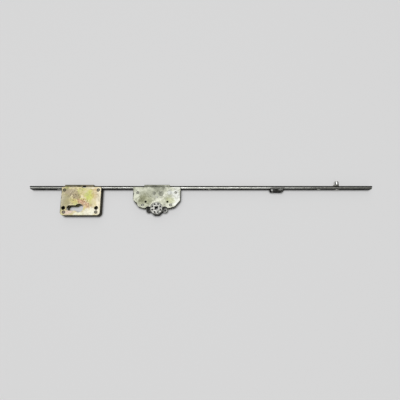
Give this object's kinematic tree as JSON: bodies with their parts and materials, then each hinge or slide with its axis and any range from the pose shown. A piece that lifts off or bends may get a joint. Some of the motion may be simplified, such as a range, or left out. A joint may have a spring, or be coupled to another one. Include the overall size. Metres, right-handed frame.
{
  "type": "window espagnolette",
  "caption": "Window espagnolette: faceplate with a sliding drive rod, geared gearbox for a square spindle, lock case for a profile cylinder, rod guide and eccentric roller cam.",
  "frame": {"origin": "on the handle spindle's axis, at the middle of the faceplate's width", "axes": "+X along the bar towards the roller cam, +Y out through the faceplate, +Z towards the handle"},
  "size_m": [0.686, 0.0706, 0.0186],
  "materials": {
    "faceplate_steel": "zinc-plated, dull, dark sheared edges",
    "rod_steel": "zinc-plated, bright",
    "gearbox_sheet": "clear-passivated zinc plate with a faint green tint",
    "zinc_casting": "raw zinc casting, satin",
    "hub_zinc": "zinc casting, bright",
    "gear_steel": "sintered or stamped steel, oiled",
    "rivet_steel": "zinc-plated",
    "spring_steel": "bright spring steel",
    "yellow_sheet": "yellow-passivated zinc plate, iridescent",
    "case_rivet_steel": "yellow-passivated, worn",
    "guide_zinc": "dark zinc casting",
    "cam_steel": "turned steel, zinc-plated",
    "roller_steel": "turned steel, bright"
  },
  "bodies": {
    "housing": {"faceplate": "faceplate_steel", "rod_retaining_rivets": "rivet_steel", "gearbox_cover": "gearbox_sheet", "gearbox_base": "gearbox_sheet", "gearbox_core": "zinc_casting", "gearbox_rivets": "rivet_steel", "handle_screw_bushes": "rivet_steel", "idler_pin": "rivet_steel", "detent_spring": "spring_steel", "lock_case_base": "yellow_sheet", "lock_case_cover": "yellow_sheet", "lock_case_rivets": "case_rivet_steel", "slide_guide_pins": "case_rivet_steel", "lever_pin": "case_rivet_steel", "slide_leaf_spring": "spring_steel", "spring_post": "case_rivet_steel", "rod_guide": "guide_zinc", "rod_guide_rivets": "rivet_steel"},
    "follower": {"follower": "hub_zinc"},
    "idler": {"idler_gear": "gear_steel"},
    "rod": {"drive_rod": "rod_steel", "rack": "gear_steel", "rack_rivets": "rivet_steel", "rod_catch": "gear_steel", "catch_rivets": "rivet_steel"},
    "stud": {"cam_stud": "cam_steel"},
    "roller": {"cam_roller": "roller_steel"},
    "slide": {"locking_slide": "gear_steel"},
    "lever": {"transfer_lever": "gear_steel"},
    "plunger": {"detent_plunger": "rivet_steel"}
  },
  "joints": [
    {"name": "handle_turn", "type": "hinge", "parent": "housing", "child": "follower", "pos_m": [0, 0, 0], "axis": [0, 0, 1], "range_deg": [0, 90]},
    {"name": "idler_turn", "type": "hinge", "parent": "housing", "child": "idler", "pos_m": [0, 0.0225, 0], "axis": [0, 0, 1], "range_deg": [-72.05, 0]},
    {"name": "rod_slide", "type": "slide", "parent": "housing", "child": "rod", "axis": [1, 0, 0], "range_m": [0, 0.01571]},
    {"name": "cam_adjust", "type": "hinge", "parent": "rod", "child": "stud", "pos_m": [0.361, 0.045, 0], "axis": [0, 1, 0], "range_deg": [-90, 90]},
    {"name": "roller_spin", "type": "hinge", "parent": "stud", "child": "roller", "pos_m": [0.362, 0.052, 0], "axis": [0, 1, 0], "continuous": true},
    {"name": "slide_lock", "type": "slide", "parent": "housing", "child": "slide", "axis": [0, 1, 0], "range_m": [0, 0.0042]},
    {"name": "lever_turn", "type": "hinge", "parent": "housing", "child": "lever", "pos_m": [-0.122, 0.019, 0], "axis": [0, 0, 1], "range_deg": [-12.05, 0]},
    {"name": "plunger_press", "type": "slide", "parent": "housing", "child": "plunger", "axis": [0.866, -0.5, 0], "range_m": [0, 0.0007]}
  ],
  "couplings": [
    {"joint": "handle_turn", "follows": "rod_slide", "rad_per_m": 100},
    {"joint": "idler_turn", "follows": "rod_slide", "rad_per_m": -80},
    {"joint": "lever_turn", "follows": "slide_lock", "rad_per_m": -49.88}
  ]
}
